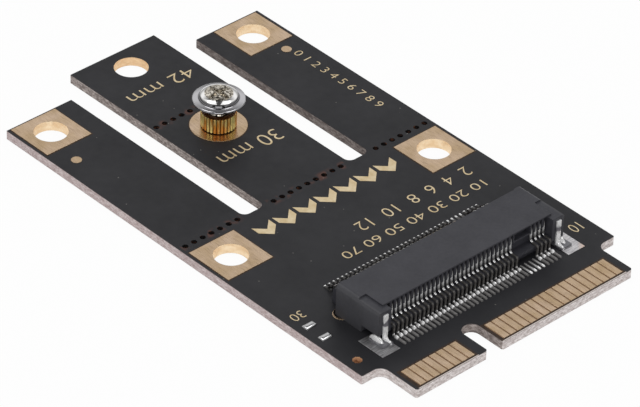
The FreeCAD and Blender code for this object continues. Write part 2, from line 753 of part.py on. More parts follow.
for index, letter in enumerate("ab"):
    label = f"jumper_land_{letter}"
    place = f"({TIP} - jumper_from_tip + {index} * jumper_spacing)"
    land = new_body(label, place, f"jumper_inset - {SIDE}", BOARD_TOP)
    plan = rectangle(
        land, f"{label}_plan", "XY_Plane",
        ("-jumper_length / 2", "-jumper_width / 2"), ("jumper_length / 2", "jumper_width / 2"),
    )
    pool = feature(land, "Pad", f"{label}_pool", plan, "solder_thick")
    doc.recompute()
    top = max(range(len(pool.Shape.Faces)), key=lambda i: pool.Shape.Faces[i].CenterOfMass.z)
    bevel = land.newObject("PartDesign::Chamfer", f"{label}_bevel")
    bevel.Base = (pool, [f"Face{top + 1}"])
    bevel.setExpression("Size", bound("solder_bevel"))
    land.Tip = bevel
    parts.append(land)

for side_name, sign in (("near", "-"), ("far", "")):
    label = f"test_point_{side_name}"
    disc = doc.addObject("Part::Prism", label)
    disc.Label = label
    disc.Polygon = FINE_SIDES
    disc.setExpression("Circumradius", bound("point_width / 2"))
    disc.setExpression("Height", bound("copper_thick"))
    disc.setExpression("Placement.Base.x", bound(f"{TIP} - {side_name}_point_from_tip"))
    disc.setExpression("Placement.Base.y", bound(f"{sign}({SIDE} - {side_name}_point_inset)"))
    disc.setExpression("Placement.Base.z", bound(BOARD_TOP))
    parts.append(disc)

doc.recompute()

for item in doc.Objects:
    if "Invalid" in item.State or "Error" in item.State:
        raise RuntimeError(f"{item.Name} failed: {item.State}")
for part in parts:
    if part.Shape.isNull() or not part.Shape.isValid() or not part.Shape.Solids:
        raise RuntimeError(f"{part.Label} has no valid solid")

os.makedirs("parts", exist_ok=True)
for part in parts:
    part.Shape.exportStep(f"parts/{part.Label}.step")
    box = part.Shape.BoundBox
    print(
        f"{part.Label}: {len(part.Shape.Solids)} solids, {part.Shape.Volume:.3f} mm3, "
        f"x {box.XMin:.2f} to {box.XMax:.2f}, y {box.YMin:.2f} to {box.YMax:.2f}, "
        f"z {box.ZMin:.3f} to {box.ZMax:.3f}"
    )
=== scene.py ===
"""How the drive adapter card looks: finishes, solder, print, the screw and a plain white studio.

Lengths are in millimetres in the part's own frame, unless a name ends in _m or _M.
"""

import json
import math
import random

import bpy
from mathutils import Matrix, Vector, noise


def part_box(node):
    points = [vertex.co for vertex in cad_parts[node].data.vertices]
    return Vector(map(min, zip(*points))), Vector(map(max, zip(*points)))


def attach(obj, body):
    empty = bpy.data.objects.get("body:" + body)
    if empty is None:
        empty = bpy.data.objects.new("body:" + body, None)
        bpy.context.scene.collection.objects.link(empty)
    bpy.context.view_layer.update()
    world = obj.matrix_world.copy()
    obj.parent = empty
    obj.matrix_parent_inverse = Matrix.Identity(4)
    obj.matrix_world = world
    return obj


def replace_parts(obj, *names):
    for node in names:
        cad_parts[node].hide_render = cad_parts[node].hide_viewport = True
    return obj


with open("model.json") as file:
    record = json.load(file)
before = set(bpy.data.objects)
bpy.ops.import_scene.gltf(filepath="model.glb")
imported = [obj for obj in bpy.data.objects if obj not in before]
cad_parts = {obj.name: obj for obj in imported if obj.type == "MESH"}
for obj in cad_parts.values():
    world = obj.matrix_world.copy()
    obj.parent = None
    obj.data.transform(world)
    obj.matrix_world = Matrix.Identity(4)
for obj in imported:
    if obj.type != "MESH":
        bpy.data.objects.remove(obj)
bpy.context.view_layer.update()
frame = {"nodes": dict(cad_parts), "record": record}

MM = 0.001
chance = random.Random(26)


def node_box(name):
    """The lowest and highest corner of a CAD node."""
    low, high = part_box(name)
    return Vector(low) / MM, Vector(high) / MM


def node_middle(name):
    """The middle of a CAD node's box."""
    low, high = node_box(name)
    return (low + high) / 2


def half_length(name):
    """Half of a CAD node's length along X."""
    low, high = node_box(name)
    return (high.x - low.x) / 2


def srgb(*levels):
    """A linear colour from the 0 to 255 levels that a picture shows."""
    linear = []
    for level in levels:
        share = level / 255
        linear.append(share / 12.92 if share <= 0.04045 else ((share + 0.055) / 1.055) ** 2.4)
    return (*linear, 1.0)


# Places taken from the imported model

BOARD_LOW, BOARD_HIGH = node_box("board")
TOP = BOARD_HIGH.z
TAB_END = BOARD_HIGH.x
NEAR_EDGE = BOARD_LOW.y
COPPER_TOP = node_box("standoff_land")[1].z
MOUNTS = {mount["name"]: mount for mount in frame["record"]["mounts"]}
SEAT = MOUNTS["drive_slot"]["pos_m"][0] / MM
LONG_HOLE_X = MOUNTS["long_card_hole"]["pos_m"][0] / MM
LONG_HOLE_RADIUS = MOUNTS["long_card_hole"]["dims"]["r_mm"]
FULL_HOLES_X = MOUNTS["full_length_holes"]["pos_m"][0] / MM
HALF_HOLES_X = MOUNTS["half_length_holes"]["pos_m"][0] / MM
HOLES_Y = MOUNTS["full_length_holes"]["dims"]["spacing_y_mm"] / 2
HOLE_LAND_HALF = half_length("plated_hole_full_near")
STANDOFF = node_middle("standoff")
STANDOFF_LAND_RADIUS = half_length("standoff_land")
FINGER_ROOT = node_box("edge_contacts_top")[0].x
FINGER_TIP = node_box("edge_contacts_top")[1].x
HOUSING_END = node_box("socket_housing")[1].y

# Cuts of the board; the margin is how far past its own place a wall is still found

WALL_MARGIN = 0.05
PEG_HOLE = (SEAT - 2.45, 10.35)
PEG_RADIUS = 0.8
TOOL_HOLE = (TAB_END - 6.15, NEAR_EDGE + 1.2)
TOOL_RADIUS = 0.45

# Rows of small holes that the board breaks along, and how far they go from the middle of the card

BREAK_ROWS = (HALF_HOLES_X - 3.5, STANDOFF.x - 3.3)
BREAK_REACHES = (4.6, 4.9)
BITE_RADIUS = 0.29

# Row across an outer arm, slot beside the middle arm, and notch of the tab: middle and half width

OUTER_ROW = (11.2, 3.5)
SLOT = (6.25, 1.25 + WALL_MARGIN)
SLOT_FLOOR = BREAK_ROWS[0] + WALL_MARGIN
NOTCH = (-3.7, 0.9 + WALL_MARGIN)
NOTCH_DEPTH = 3.7
NOTCH_FLOOR = TAB_END - NOTCH_DEPTH - WALL_MARGIN

# Contact rows of the socket: contacts before the key, places that it leaves empty, contacts after it

PITCH = 0.5
REAR_COUNTS = (30, 4, 4)
FRONT_COUNTS = (29, 4, 4)
CONTACT_HALF = 0.1
REAR_FIRST = node_box("socket_contacts_rear")[0].y + CONTACT_HALF
FRONT_FIRST = node_box("socket_contacts_front")[0].y + CONTACT_HALF


# Shader fields

FACE_SLOPE = 0.5
EDGE_SAMPLES = 6


class Field:
    """A number over a surface; sums and tests of it add Math nodes to its material."""

    def __init__(self, socket):
        self.socket = socket
        self.tree = socket.id_data

    def math(self, operation, other=0.0):
        """The field put through a Math node, with a number or another field."""
        node = self.tree.nodes.new("ShaderNodeMath")
        node.operation = operation
        self.tree.links.new(self.socket, node.inputs[0])
        if isinstance(other, Field):
            self.tree.links.new(other.socket, node.inputs[1])
        else:
            node.inputs[1].default_value = other
        return Field(node.outputs[0])

    def __add__(self, other):
        return self.math("ADD", other)

    def __sub__(self, other):
        return self.math("SUBTRACT", other)

    def __mul__(self, other):
        return self.math("MULTIPLY", other)

    def size(self):
        return self.math("ABSOLUTE")

    def above(self, level):
        return self.math("GREATER_THAN", level)

    def below(self, level):
        return self.math("LESS_THAN", level)

    def either(self, other):
        return self.math("MAXIMUM", other)

    def inverse(self, share=1.0):
        """1 where the field is 0, and lower by a share where it is 1."""
        return self * -share + 1.0

    def near(self, level, reach):
        """1 where the field lies within reach of a level, and 0 elsewhere."""
        return (self - level).size().below(reach)

    def ramp(self, start, end, low=0.0, high=1.0):
        """The field carried from start..end to low..high, held at both ends."""
        node = self.tree.nodes.new("ShaderNodeMapRange")
        self.tree.links.new(self.socket, node.inputs["Value"])
        node.inputs["From Min"].default_value = start
        node.inputs["From Max"].default_value = end
        node.inputs["To Min"].default_value = low
        node.inputs["To Max"].default_value = high
        return Field(node.outputs["Result"])


class Finish:
    """A material with one Principled shader, and the fields that its look is built from."""

    def __init__(self, name, colour, roughness, metallic=0.0):
        self.material = bpy.data.materials.new(name)
        self.material.use_nodes = True
        self.tree = self.material.node_tree
        self.shader = self.tree.nodes["Principled BSDF"]
        self.shader.inputs["Base Color"].default_value = colour
        self.shader.inputs["Roughness"].default_value = roughness
        self.shader.inputs["Metallic"].default_value = metallic
        self.normal = None
        scale = self.tree.nodes.new("ShaderNodeVectorMath")
        scale.operation = "SCALE"
        scale.inputs["Scale"].default_value = 1 / MM
        coordinates = self.tree.nodes.new("ShaderNodeTexCoord")
        self.tree.links.new(coordinates.outputs["Object"], scale.inputs[0])
        self.place = scale.outputs["Vector"]
        self.x, self.y, self.z = self.parts(self.place)
        geometry = self.tree.nodes.new("ShaderNodeNewGeometry")
        self.face = self.parts(geometry.outputs["True Normal"])[2].size().above(FACE_SLOPE)

    def parts(self, vector):
        """The three parts of a vector, as fields."""
        node = self.tree.nodes.new("ShaderNodeSeparateXYZ")
        self.tree.links.new(vector, node.inputs[0])
        return [Field(output) for output in node.outputs]

    def stretched(self, grain):
        """The place in units of a grain, given as one length or as a length along each axis."""
        node = self.tree.nodes.new("ShaderNodeVectorMath")
        node.operation = "MULTIPLY"
        lengths = grain if isinstance(grain, tuple) else (grain,) * 3
        node.inputs[1].default_value = [1 / length for length in lengths]
        self.tree.links.new(self.place, node.inputs[0])
        return node.outputs["Vector"]

    def noise(self, grain, detail=2.0):
        """Soft random patches about as large as a grain."""
        node = self.tree.nodes.new("ShaderNodeTexNoise")
        node.inputs["Scale"].default_value = 1.0
        node.inputs["Detail"].default_value = detail
        self.tree.links.new(self.stretched(grain), node.inputs["Vector"])
        return Field(node.outputs["Fac"])

    def specks(self, spacing, radius):
        """1 inside small spots that lie about a spacing apart."""
        node = self.tree.nodes.new("ShaderNodeTexVoronoi")
        node.inputs["Scale"].default_value = 1.0
        self.tree.links.new(self.stretched(spacing), node.inputs["Vector"])
        return Field(node.outputs["Distance"]).below(radius / spacing)

    def reach(self, x, y):
        """The distance from a point of the plan."""
        across = self.x - x
        away = self.y - y
        return (across * across + away * away).math("SQRT")

    def disc(self, x, y, radius):
        """1 within a radius of a point of the plan."""
        return self.reach(x, y).below(radius)

    def blend(self, share, first, second):
        """A colour socket that goes from the first colour to the second by a share.

        The Mix node keeps its sockets for colours after those for numbers and vectors.
        """
        node = self.tree.nodes.new("ShaderNodeMix")
        node.data_type = "RGBA"
        self.tree.links.new(share.socket, node.inputs["Factor"])
        for colour, socket in ((first, node.inputs[6]), (second, node.inputs[7])):
            if isinstance(colour, tuple):
                socket.default_value = colour
            else:
                self.tree.links.new(colour, socket)
        return node.outputs[2]

    def drive(self, **fields):
        """Links fields or colours to the shader; a name's underscores stand for spaces."""
        for name, value in fields.items():
            socket = value.socket if isinstance(value, Field) else value
            self.tree.links.new(socket, self.shader.inputs[name.replace("_", " ")])

    def round_edges(self, radius):
        """Lets sharp edges catch the light as if they were rounded."""
        node = self.tree.nodes.new("ShaderNodeBevel")
        node.samples = EDGE_SAMPLES
        node.inputs["Radius"].default_value = radius * MM
        self.normal = node.outputs["Normal"]
        self.tree.links.new(self.normal, self.shader.inputs["Normal"])

    def relief(self, height, depth):
        """A fine surface texture, depth from its lowest to its highest point."""
        node = self.tree.nodes.new("ShaderNodeBump")
        node.inputs["Distance"].default_value = depth * MM
        self.tree.links.new(height.socket, node.inputs["Height"])
        if self.normal:
            self.tree.links.new(self.normal, node.inputs["Normal"])
        self.normal = node.outputs["Normal"]
        self.tree.links.new(self.normal, self.shader.inputs["Normal"])


# Board and its gold; a row of fingers, or its window in the mask, is its middle and half width

FINGER_ROWS = ((-9.05, 3.12), (4.65, 7.12))
FINGER_WINDOWS = ((-9.05, 3.45), (4.65, 7.44))
FINGER_WINDOW_ROOT = FINGER_ROOT - 0.2
HOLE_WINDOW = HOLE_LAND_HALF + 0.12
STANDOFF_WINDOW = STANDOFF_LAND_RADIUS + 0.1
SCRAPED_START = TAB_END - 0.1
STAIN_EDGE = (0.28, 0.62)
FAR_SLOT_WALL = 7.0
MASK_SKIN = 0.05
LINING_LIGHT = srgb(254, 232, 198)
LINING_DARK = srgb(238, 208, 168)


def mask_colour(finish):
    """Black mask: a little cloudy, dusty, and stained brown round some of the break-off holes."""
    cloud = finish.noise(5.0, 3.0)
    mask = finish.blend(cloud.ramp(0.35, 0.65), srgb(36, 36, 39), srgb(43, 43, 46))
    dust = finish.specks(1.1, 0.06) * finish.noise(2.5).above(0.5)
    mask = finish.blend(dust * 0.5, mask, srgb(150, 148, 142))
    middle_arm = finish.y.size().below(BREAK_REACHES[0])
    near_arm = finish.y.near(-OUTER_ROW[0], OUTER_ROW[1])
    first_row, second_row = [
        (finish.x - row).size().ramp(*STAIN_EDGE, 1.0, 0.0) for row in BREAK_ROWS
    ]
    stain = (first_row * middle_arm.either(near_arm)).either(second_row * middle_arm)
    stain = stain * finish.noise((1.5, 1.1, 1.0), 2.0).ramp(0.50, 0.62)
    return finish.blend(stain * 0.35, mask, srgb(124, 74, 56))


def face_colour(finish):
    """The board's faces: mask, bare laminate in its windows round the gold, and a scraped tab end."""
    fingers, beside_fingers = [
        finish.y.near(*near_row).either(finish.y.near(*far_row))
        for near_row, far_row in (FINGER_ROWS, FINGER_WINDOWS)
    ]
    at_holes = finish.x.near(FULL_HOLES_X, HOLE_WINDOW).either(finish.x.near(HALF_HOLES_X, HOLE_WINDOW))
    window = finish.x.above(FINGER_WINDOW_ROOT) * beside_fingers
    window = window.either(at_holes * finish.y.size().near(HOLES_Y, HOLE_WINDOW))
    window = window.either(finish.disc(STANDOFF.x, STANDOFF.y, STANDOFF_WINDOW))
    bare_tone = finish.noise(0.25, 3.0).ramp(0.3, 0.7)
    bare = finish.blend(bare_tone, srgb(44, 32, 24), srgb(68, 51, 38))
    gap = finish.x.near((FINGER_ROOT + FINGER_TIP) / 2, (FINGER_TIP - FINGER_ROOT) / 2) * fingers
    bare = finish.blend(gap * 0.8, bare, srgb(142, 112, 84))
    colour = finish.blend(window, mask_colour(finish), bare)
    scraped = finish.x.above(SCRAPED_START) * beside_fingers
    return finish.blend(scraped, colour, srgb(214, 204, 198))


def drilled_walls(finish):
    """1 on the walls of the break-off holes and the peg holes."""
    first_row, second_row = [finish.x.near(row, BITE_RADIUS + WALL_MARGIN) for row in BREAK_ROWS]
    first_reach, second_reach = [finish.y.size().below(reach) for reach in BREAK_REACHES]
    drilled = first_row * first_reach.either(finish.y.size().near(*OUTER_ROW))
    drilled = drilled.either(second_row * second_reach)
    peg_x, peg_y = PEG_HOLE
    for side in (1, -1):
        drilled = drilled.either(finish.disc(peg_x, side * peg_y, PEG_RADIUS + WALL_MARGIN))
    return drilled


def wall_colour(finish, lining):
    """The board's cut edges: pale laminate with painted shade on the near edge, browner where it is milled
    or drilled, and one plated hole.
    """
    weave = finish.noise((0.45, 0.45, 0.2), 4.0)
    fibre = finish.noise((0.22, 0.22, 0.1), 4.0).ramp(0.52, 0.62)
    wall = finish.blend(weave.ramp(0.35, 0.65), srgb(196, 185, 182), srgb(240, 233, 231))
    wall = finish.blend(fibre * 0.45, wall, srgb(140, 126, 122))
    # Painted shade: the wall along the near edge is painted darker than the other edges.
    shaded_near_edge = finish.y.below(NEAR_EDGE + WALL_MARGIN)
    wall = finish.blend(shaded_near_edge * 0.35, wall, srgb(162, 127, 130))
    slots = finish.x.below(SLOT_FLOOR) * finish.y.size().near(*SLOT)
    notch = finish.x.above(NOTCH_FLOOR) * finish.y.near(*NOTCH)
    routed = finish.blend(weave.ramp(0.4, 0.62), srgb(108, 96, 91), srgb(184, 172, 166))
    routed = finish.blend(fibre * 0.6, routed, srgb(92, 80, 76))
    wall = finish.blend(slots.either(notch) * 0.8, wall, routed)
    far_slot = slots * finish.y.above(FAR_SLOT_WALL)
    wall = finish.blend(far_slot * 0.5, wall, srgb(62, 54, 52))
    wall = finish.blend(finish.z.near(TOP, MASK_SKIN) * 0.7, wall, srgb(60, 54, 52))
    # Dark brown, near black in places, on the walls of the break-off holes and the peg holes.
    drilled_wall_tone = finish.blend(weave.ramp(0.54, 0.66), srgb(22, 18, 18), srgb(110, 68, 48))
    wall = finish.blend(drilled_walls(finish), wall, drilled_wall_tone)
    tool_hole = finish.disc(*TOOL_HOLE, TOOL_RADIUS + WALL_MARGIN)
    tool_wall = finish.blend(fibre, srgb(212, 168, 130), srgb(150, 104, 72))
    wall = finish.blend(tool_hole, wall, tool_wall)
    plating = finish.blend(weave.ramp(0.3, 0.7), LINING_LIGHT, LINING_DARK)
    return finish.blend(lining, wall, plating)


def board_finish():
    """Black satin mask on both faces, pale glass laminate on every cut edge."""
    finish = Finish("board_finish", srgb(50, 50, 52), 0.42)
    finish.shader.inputs["Specular IOR Level"].default_value = 0.2
    lining = finish.disc(LONG_HOLE_X, 0.0, LONG_HOLE_RADIUS + WALL_MARGIN)
    satin = finish.noise(0.8, 4.0).ramp(0.3, 0.7, -0.32, -0.22)
    finish.drive(
        Base_Color=finish.blend(finish.face, wall_colour(finish, lining), face_colour(finish)),
        Roughness=finish.face * satin + 0.72,
        Metallic=lining * finish.face.inverse() * 0.8,
    )
    finish.round_edges(0.03)
    finish.relief(finish.noise(0.12, 3.0), 0.003)
    return finish.material


def gold_finish():
    """Thin gold over copper: soft mirror, pinker in places, finely rubbed, and pale inside the holes."""
    finish = Finish("gold_finish", srgb(190, 166, 128), 0.25, 1.0)
    tone = finish.noise(1.6, 3.0).ramp(0.3, 0.7)
    rub = finish.noise((0.9, 0.12, 0.3), 4.0)
    colour = finish.blend(tone, srgb(186, 160, 127), srgb(205, 180, 155))
    colour = finish.blend(rub.ramp(0.55, 0.75) * 0.35, colour, srgb(140, 116, 92))
    wall = finish.face.inverse()
    streak = finish.noise((0.9, 0.9, 0.5), 2.0).ramp(0.35, 0.65)
    colour = finish.blend(wall, colour, finish.blend(streak, LINING_LIGHT, LINING_DARK))
    finish.drive(Base_Color=colour, Roughness=rub.ramp(0.3, 0.7, 0.2, 0.36) + wall * 0.2)
    finish.round_edges(0.03)
    finish.relief(rub, 0.002)
    return finish.material


# Socket, clips and solder

HOUSING_END_SKIN = 0.3
LAND_TIP = (-0.9, -0.3)
CLIP_FOOT = 0.24
CLIP_REFLECTION_HEIGHT = 1.80
CLIP_REFLECTION_EDGE = (0.20, 0.36)

# Tones and painted shade of the contacts: places along X from the drive card's seat, and heights over the
# board

LEG_PLACE = 2.0
SPINE_PLACE = 1.4
FRONT_FEET_PLACE = -5.0
FOOT_HEIGHT = 0.2
DULL_AND_SHADED_START = (0.20, 0.28)
SPINE_START = (1.36, 1.48)
SHADE_LOW = (1.50, 1.95)
SHADE_HIGH = (2.25, 2.62)


def housing_finish():
    """Slate moulded plastic with a fine spark-eroded texture; painted light makes both ends a little
    paler.
    """
    finish = Finish("housing_finish", srgb(58, 58, 63), 0.5)
    finish.shader.inputs["Specular IOR Level"].default_value = 0.35
    tone = finish.noise(1.8, 3.0).ramp(0.3, 0.7)
    block = finish.blend(tone, srgb(52, 52, 58), srgb(60, 60, 66))
    # Painted light: the end faces and the top next to them are painted paler than the rest of the block.
    ends = finish.blend(tone, srgb(62, 62, 66), srgb(70, 70, 74))
    painted_light_at_ends = finish.y.size().above(HOUSING_END - HOUSING_END_SKIN)
    finish.drive(
        Base_Color=finish.blend(painted_light_at_ends, block, ends),
        Roughness=finish.noise(0.3, 3.0).ramp(0.3, 0.7, 0.42, 0.56),
    )
    finish.round_edges(0.07)
    finish.relief(finish.noise(0.07, 2.0), 0.006)
    return finish.material


def tin_finish(name, light, dull, roughness, mirror, bumpy):
    """Tinned metal or solder, bright with duller patches."""
    finish = Finish(name, light, roughness, mirror)
    patch = finish.noise(0.45, 3.0)
    finish.drive(
        Base_Color=finish.blend(patch.ramp(0.42, 0.7), light, dull),
        Roughness=patch.ramp(0.3, 0.7, roughness - 0.06, roughness + 0.12),
    )
    finish.round_edges(0.05)
    finish.relief(finish.noise(0.15, 3.0), bumpy)
    return finish.material


def land_finish():
    """Tinned lands of the clips: brushed, with painted light on the far land, and pink at the far tip."""
    finish = Finish("land_finish", srgb(166, 165, 166), 0.4, 1.0)
    streak = finish.noise((0.10, 0.9, 0.3), 3.0).ramp(0.35, 0.65)
    near = finish.blend(streak, srgb(209, 208, 210), srgb(156, 155, 157))
    # Painted light: the far land's copy of the colours is lighter than the near land's.
    far = finish.blend(streak, srgb(222, 220, 221), srgb(178, 176, 179))
    corner = node_box("hold_down_land_far")[1]
    tip = (finish.x + finish.y - (corner.x + corner.y)).ramp(*LAND_TIP, 0.0, 0.7)
    far = finish.blend(tip, far, srgb(232, 204, 188))
    finish.drive(Base_Color=finish.blend(finish.y.above(0.0), near, far))
    finish.round_edges(0.05)
    finish.relief(streak, 0.003)
    return finish.material


def contact_finish():
    """Spring strips of bright tin, with painted shade on the spine in the comb and on the rougher shelf
    and leg, and dark at the front feet.
    """
    finish = Finish("contact_finish", srgb(226, 226, 226), 0.24, 1.0)
    patch = finish.noise(0.4, 2.0).ramp(0.35, 0.65)
    height = finish.z - TOP
    # The shelf and leg are rougher and less metallic, and they are painted dark grey as painted shade.
    dull = finish.x.above(SEAT + LEG_PLACE) * height.ramp(*DULL_AND_SHADED_START)
    spine = finish.x.above(SEAT + SPINE_PLACE) * height.ramp(*SPINE_START)
    # Painted shade on the spine, below and above its lit middle in the comb.
    shaded = spine * (height.ramp(*SHADE_LOW, 1.0, 0.0) + height.ramp(*SHADE_HIGH))
    foot = height.below(FOOT_HEIGHT)
    front_feet = finish.x.below(SEAT + FRONT_FEET_PLACE)
    colour = finish.blend(patch, srgb(240, 240, 240), srgb(226, 226, 226))
    colour = finish.blend(spine, colour, srgb(226, 226, 226))
    colour = finish.blend(shaded, colour, srgb(96, 95, 94))
    colour = finish.blend(foot, colour, srgb(146, 144, 143))
    colour = finish.blend(front_feet, colour, srgb(84, 82, 81))
    colour = finish.blend(dull, colour, finish.blend(patch, srgb(92, 89, 87), srgb(74, 72, 70)))
    finish.drive(
        Base_Color=colour,
        Roughness=dull * 0.20 + foot * 0.24 + 0.14,
        Metallic=spine.inverse(0.7) * dull.inverse(0.7) * foot.inverse(0.5),
    )
    return finish.material


def clip_finish():
    """Hold-down clips: a bright upright with a painted reflection in a grey band across it, and a dull
    foot.
    """
    finish = Finish("clip_finish", srgb(240, 240, 240), 0.24, 0.3)
    wander = finish.noise(0.6, 2.0).ramp(0.3, 0.7, -0.2, 0.2)
    height = finish.z - TOP
    # Painted reflection: a grey band across the upright at a wandering height.
    reflected_band = (height + wander - CLIP_REFLECTION_HEIGHT).size().ramp(*CLIP_REFLECTION_EDGE, 1.0, 0.0)
    colour = finish.blend(reflected_band, srgb(255, 255, 255), srgb(128, 127, 134))
    colour = finish.blend(height.below(CLIP_FOOT), colour, srgb(112, 112, 116))
    finish.drive(Base_Color=colour)
    finish.round_edges(0.05)
    finish.relief(finish.noise(0.15, 3.0), 0.002)
    return finish.material


# Screw, standoff and print; these distances from the screw's axis part the tones and the painted shade of
# the first two

KNURL_VALLEY_SHADE = (1.53, 1.63)
CROWN_EDGE = (1.26, 1.36)
HEAD_FOOT_SHADE = (1.66, 1.72)
COLLAR_START = (1.80, 1.92)


def brass_finish():
    """Bright brass with upright streaks, and painted dark brown shade in the valleys of the knurl."""
    finish = Finish("brass_finish", srgb(255, 214, 120), 0.16, 0.4)
    ridge = finish.reach(STANDOFF.x, STANDOFF.y).ramp(*KNURL_VALLEY_SHADE)
    tone = finish.noise((0.45, 0.45, 2.5), 2.0).ramp(0.42, 0.58)
    light = finish.blend(tone, srgb(255, 238, 154), srgb(230, 152, 60))
    # Painted shade: the valleys of the knurl are painted dark brown.
    finish.drive(Base_Color=finish.blend(ridge, srgb(78, 44, 12), light))
    finish.relief(tone, 0.002)
    return finish.material


def nickel_finish():
    """Plated steel: brown bruises and painted shade on the crown, painted shade round the foot of the
    head, and a collar painted greyer as shade.
    """
    finish = Finish("nickel_finish", srgb(226, 224, 221), 0.05, 1.0)
    reach = finish.reach(STANDOFF.x, STANDOFF.y)
    rings = finish.noise((0.5, 0.5, 0.05), 2.0)
    # Bruises, with painted shade of the cross recess, mottle the crown brown.
    bruise_and_shade = finish.noise(0.22, 3.0).ramp(0.4, 0.6)
    crown = finish.blend(bruise_and_shade, srgb(224, 217, 204), srgb(112, 105, 94))
    # Painted shade round the foot of the head, and a lighter painted shade on the collar.
    colour = finish.blend(reach.ramp(*HEAD_FOOT_SHADE), srgb(238, 237, 236), srgb(124, 123, 125))
    colour = finish.blend(reach.ramp(*COLLAR_START), colour, srgb(184, 183, 186))
    colour = finish.blend(reach.ramp(*CROWN_EDGE, 1.0, 0.0), colour, crown)
    finish.drive(Base_Color=colour, Roughness=rings.ramp(0.3, 0.7, 0.05, 0.12))
    finish.relief(rings, 0.0003)
    return finish.material


def print_finish():
    """Pale gold marks on the mask."""
    finish = Finish("print_finish", srgb(222, 202, 162), 0.4, 0.5)
    tone = finish.noise(0.6, 3.0).ramp(0.3, 0.7)
    finish.drive(Base_Color=finish.blend(tone, srgb(214, 190, 146), srgb(232, 214, 178)))
    finish.relief(finish.noise(0.08, 2.0), 0.002)
    return finish.material


# Finishes of the nodes

BOARD = board_finish()
GOLD = gold_finish()
HOUSING = housing_finish()
CONTACT = contact_finish()
CLIP = clip_finish()
LAND = land_finish()
SOLDER = tin_finish("solder_finish", srgb(250, 250, 250), srgb(236, 235, 235), 0.18, 0.4, 0.001)
JUMPER = tin_finish("jumper_finish", srgb(198, 198, 199), srgb(176, 175, 176), 0.08, 1.0, 0.0006)
FOOT_SOLDER = tin_finish("foot_solder_finish", srgb(138, 136, 135), srgb(108, 106, 105), 0.4, 0.6, 0.001)
FRONT_SOLDER = tin_finish("front_solder_finish", srgb(92, 90, 89), srgb(70, 68, 67), 0.4, 0.6, 0.001)
BRASS = brass_finish()
NICKEL = nickel_finish()
PRINT = print_finish()

NODE_FINISHES = {
    "board": BOARD,
    "socket_housing": HOUSING,
    "socket_contacts_rear": CONTACT,
    "socket_contacts_front": CONTACT,
    "hold_down_near": CLIP,
    "hold_down_far": CLIP,
    "hold_down_land_near": LAND,
    "hold_down_land_far": LAND,
    "jumper_land_a": JUMPER,
    "jumper_land_b": JUMPER,
    "standoff": BRASS,
    "screw": NICKEL,
}
for name, node in frame["nodes"].items():
    node.data.materials.clear()
    node.data.materials.append(NODE_FINISHES.get(name, GOLD))


# New pieces: the widest angle, in degrees, between faces that are shaded as one

PLATE_SMOOTH = 35
TURNED_SMOOTH = 40
SOLDER_SMOOTH = 50
PILLOW_SMOOTH = 60


class Shell:
    """The points and faces of a new piece."""

    def __init__(self):
        self.points = []
        self.faces = []

    def loft(self, loops):
        """Joins closed loops of equal length one after another, and closes both ends."""
        first = len(self.points)
        count = len(loops[0])
        for loop in loops:
            self.points.extend(loop)
        for row in range(len(loops) - 1):
            here = first + row * count
            for step in range(count):
                after = (step + 1) % count
                self.faces.append(
                    (here + step, here + after, here + count + after, here + count + step)
                )
        last = first + (len(loops) - 1) * count
        self.faces.append(tuple(reversed(range(first, first + count))))
        self.faces.append(tuple(range(last, last + count)))

    def tube(self, loops):
        """Joins closed loops one after another, and the last to the first again."""
        first = len(self.points)
        count = len(loops[0])
        for loop in loops:
            self.points.extend(loop)
        for row in range(len(loops)):
            here = first + row * count
            there = first + (row + 1) % len(loops) * count
            for step in range(count):
                after = (step + 1) % count
                self.faces.append((here + step, here + after, there + after, there + step))

    def plate(self, outline, low, high):
        """A flat plate of a plan outline, given counter-clockwise."""
        self.loft([[(x, y, level) for x, y in outline] for level in (low, high)])

    def piece(self, name, material, slot, smooth_angle=PLATE_SMOOTH):
        """Makes the mesh, puts it in the scene and gives back its object."""
        mesh = bpy.data.meshes.new(name)
        mesh.from_pydata([Vector(point) * MM for point in self.points], [], self.faces)
        mesh.materials.append(material)
        mesh.shade_smooth()
        mesh.set_sharp_from_angle(angle=math.radians(smooth_angle))
        return show(name, mesh)


def show(name, mesh):
    """Puts a mesh in the scene as a piece of the root body."""
    piece = bpy.data.objects.new(name, mesh)
    bpy.context.scene.collection.objects.link(piece)
    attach(piece, "root")
    return piece


def ring(middle, steps, radius, level):
    """A closed loop round an upright axis; a radius or level may be a function of the angle."""
    loop = []
    for step in range(steps):
        angle = 2 * math.pi * step / steps
        out = radius(angle) if callable(radius) else radius
        z = level(angle) if callable(level) else level
        loop.append((middle.x + out * math.cos(angle), middle.y + out * math.sin(angle), z))
    return loop


# Contacts and their solder

LAND_WIDTH = 0.27
LAND_END_STEPS = 6
RIDGE_STEPS = 14
BEND_STEPS = 6
STRIP_HALF = 0.075
STRIP_EDGE = 0.025


def row_places(first, counts):
    """Where the contacts of a row stand, and where its key leaves lands empty."""
    near_count, key_count = counts[:2]
    places = [first + PITCH * place for place in range(sum(counts))]
    far_start = near_count + key_count
    return places[:near_count] + places[far_start:], places[near_count:far_start]


def land_outline(x_low, x_high, y):
    """A land with round ends."""
    radius = LAND_WIDTH / 2
    outline = []
    for end_x, turn in ((x_high - radius, -90), (x_low + radius, 90)):
        for step in range(LAND_END_STEPS + 1):
            angle = math.radians(turn + 180 * step / LAND_END_STEPS)
            outline.append((end_x + radius * math.cos(angle), y + radius * math.sin(angle)))
    return outline


def solder_ridge(shell, start, y, stations, swell=1.0):
    """A round-topped ridge along X; a station is its place from a start, half width and height."""
    loops = []
    for x, half, height in stations:
        loop = []
        for step in range(RIDGE_STEPS + 1):
            angle = math.pi * step / RIDGE_STEPS
            rise = swell * height * math.sin(angle)
            loop.append((start + x, y + half * math.cos(angle), TOP + rise))
        loops.append(loop)
    shell.loft(loops)


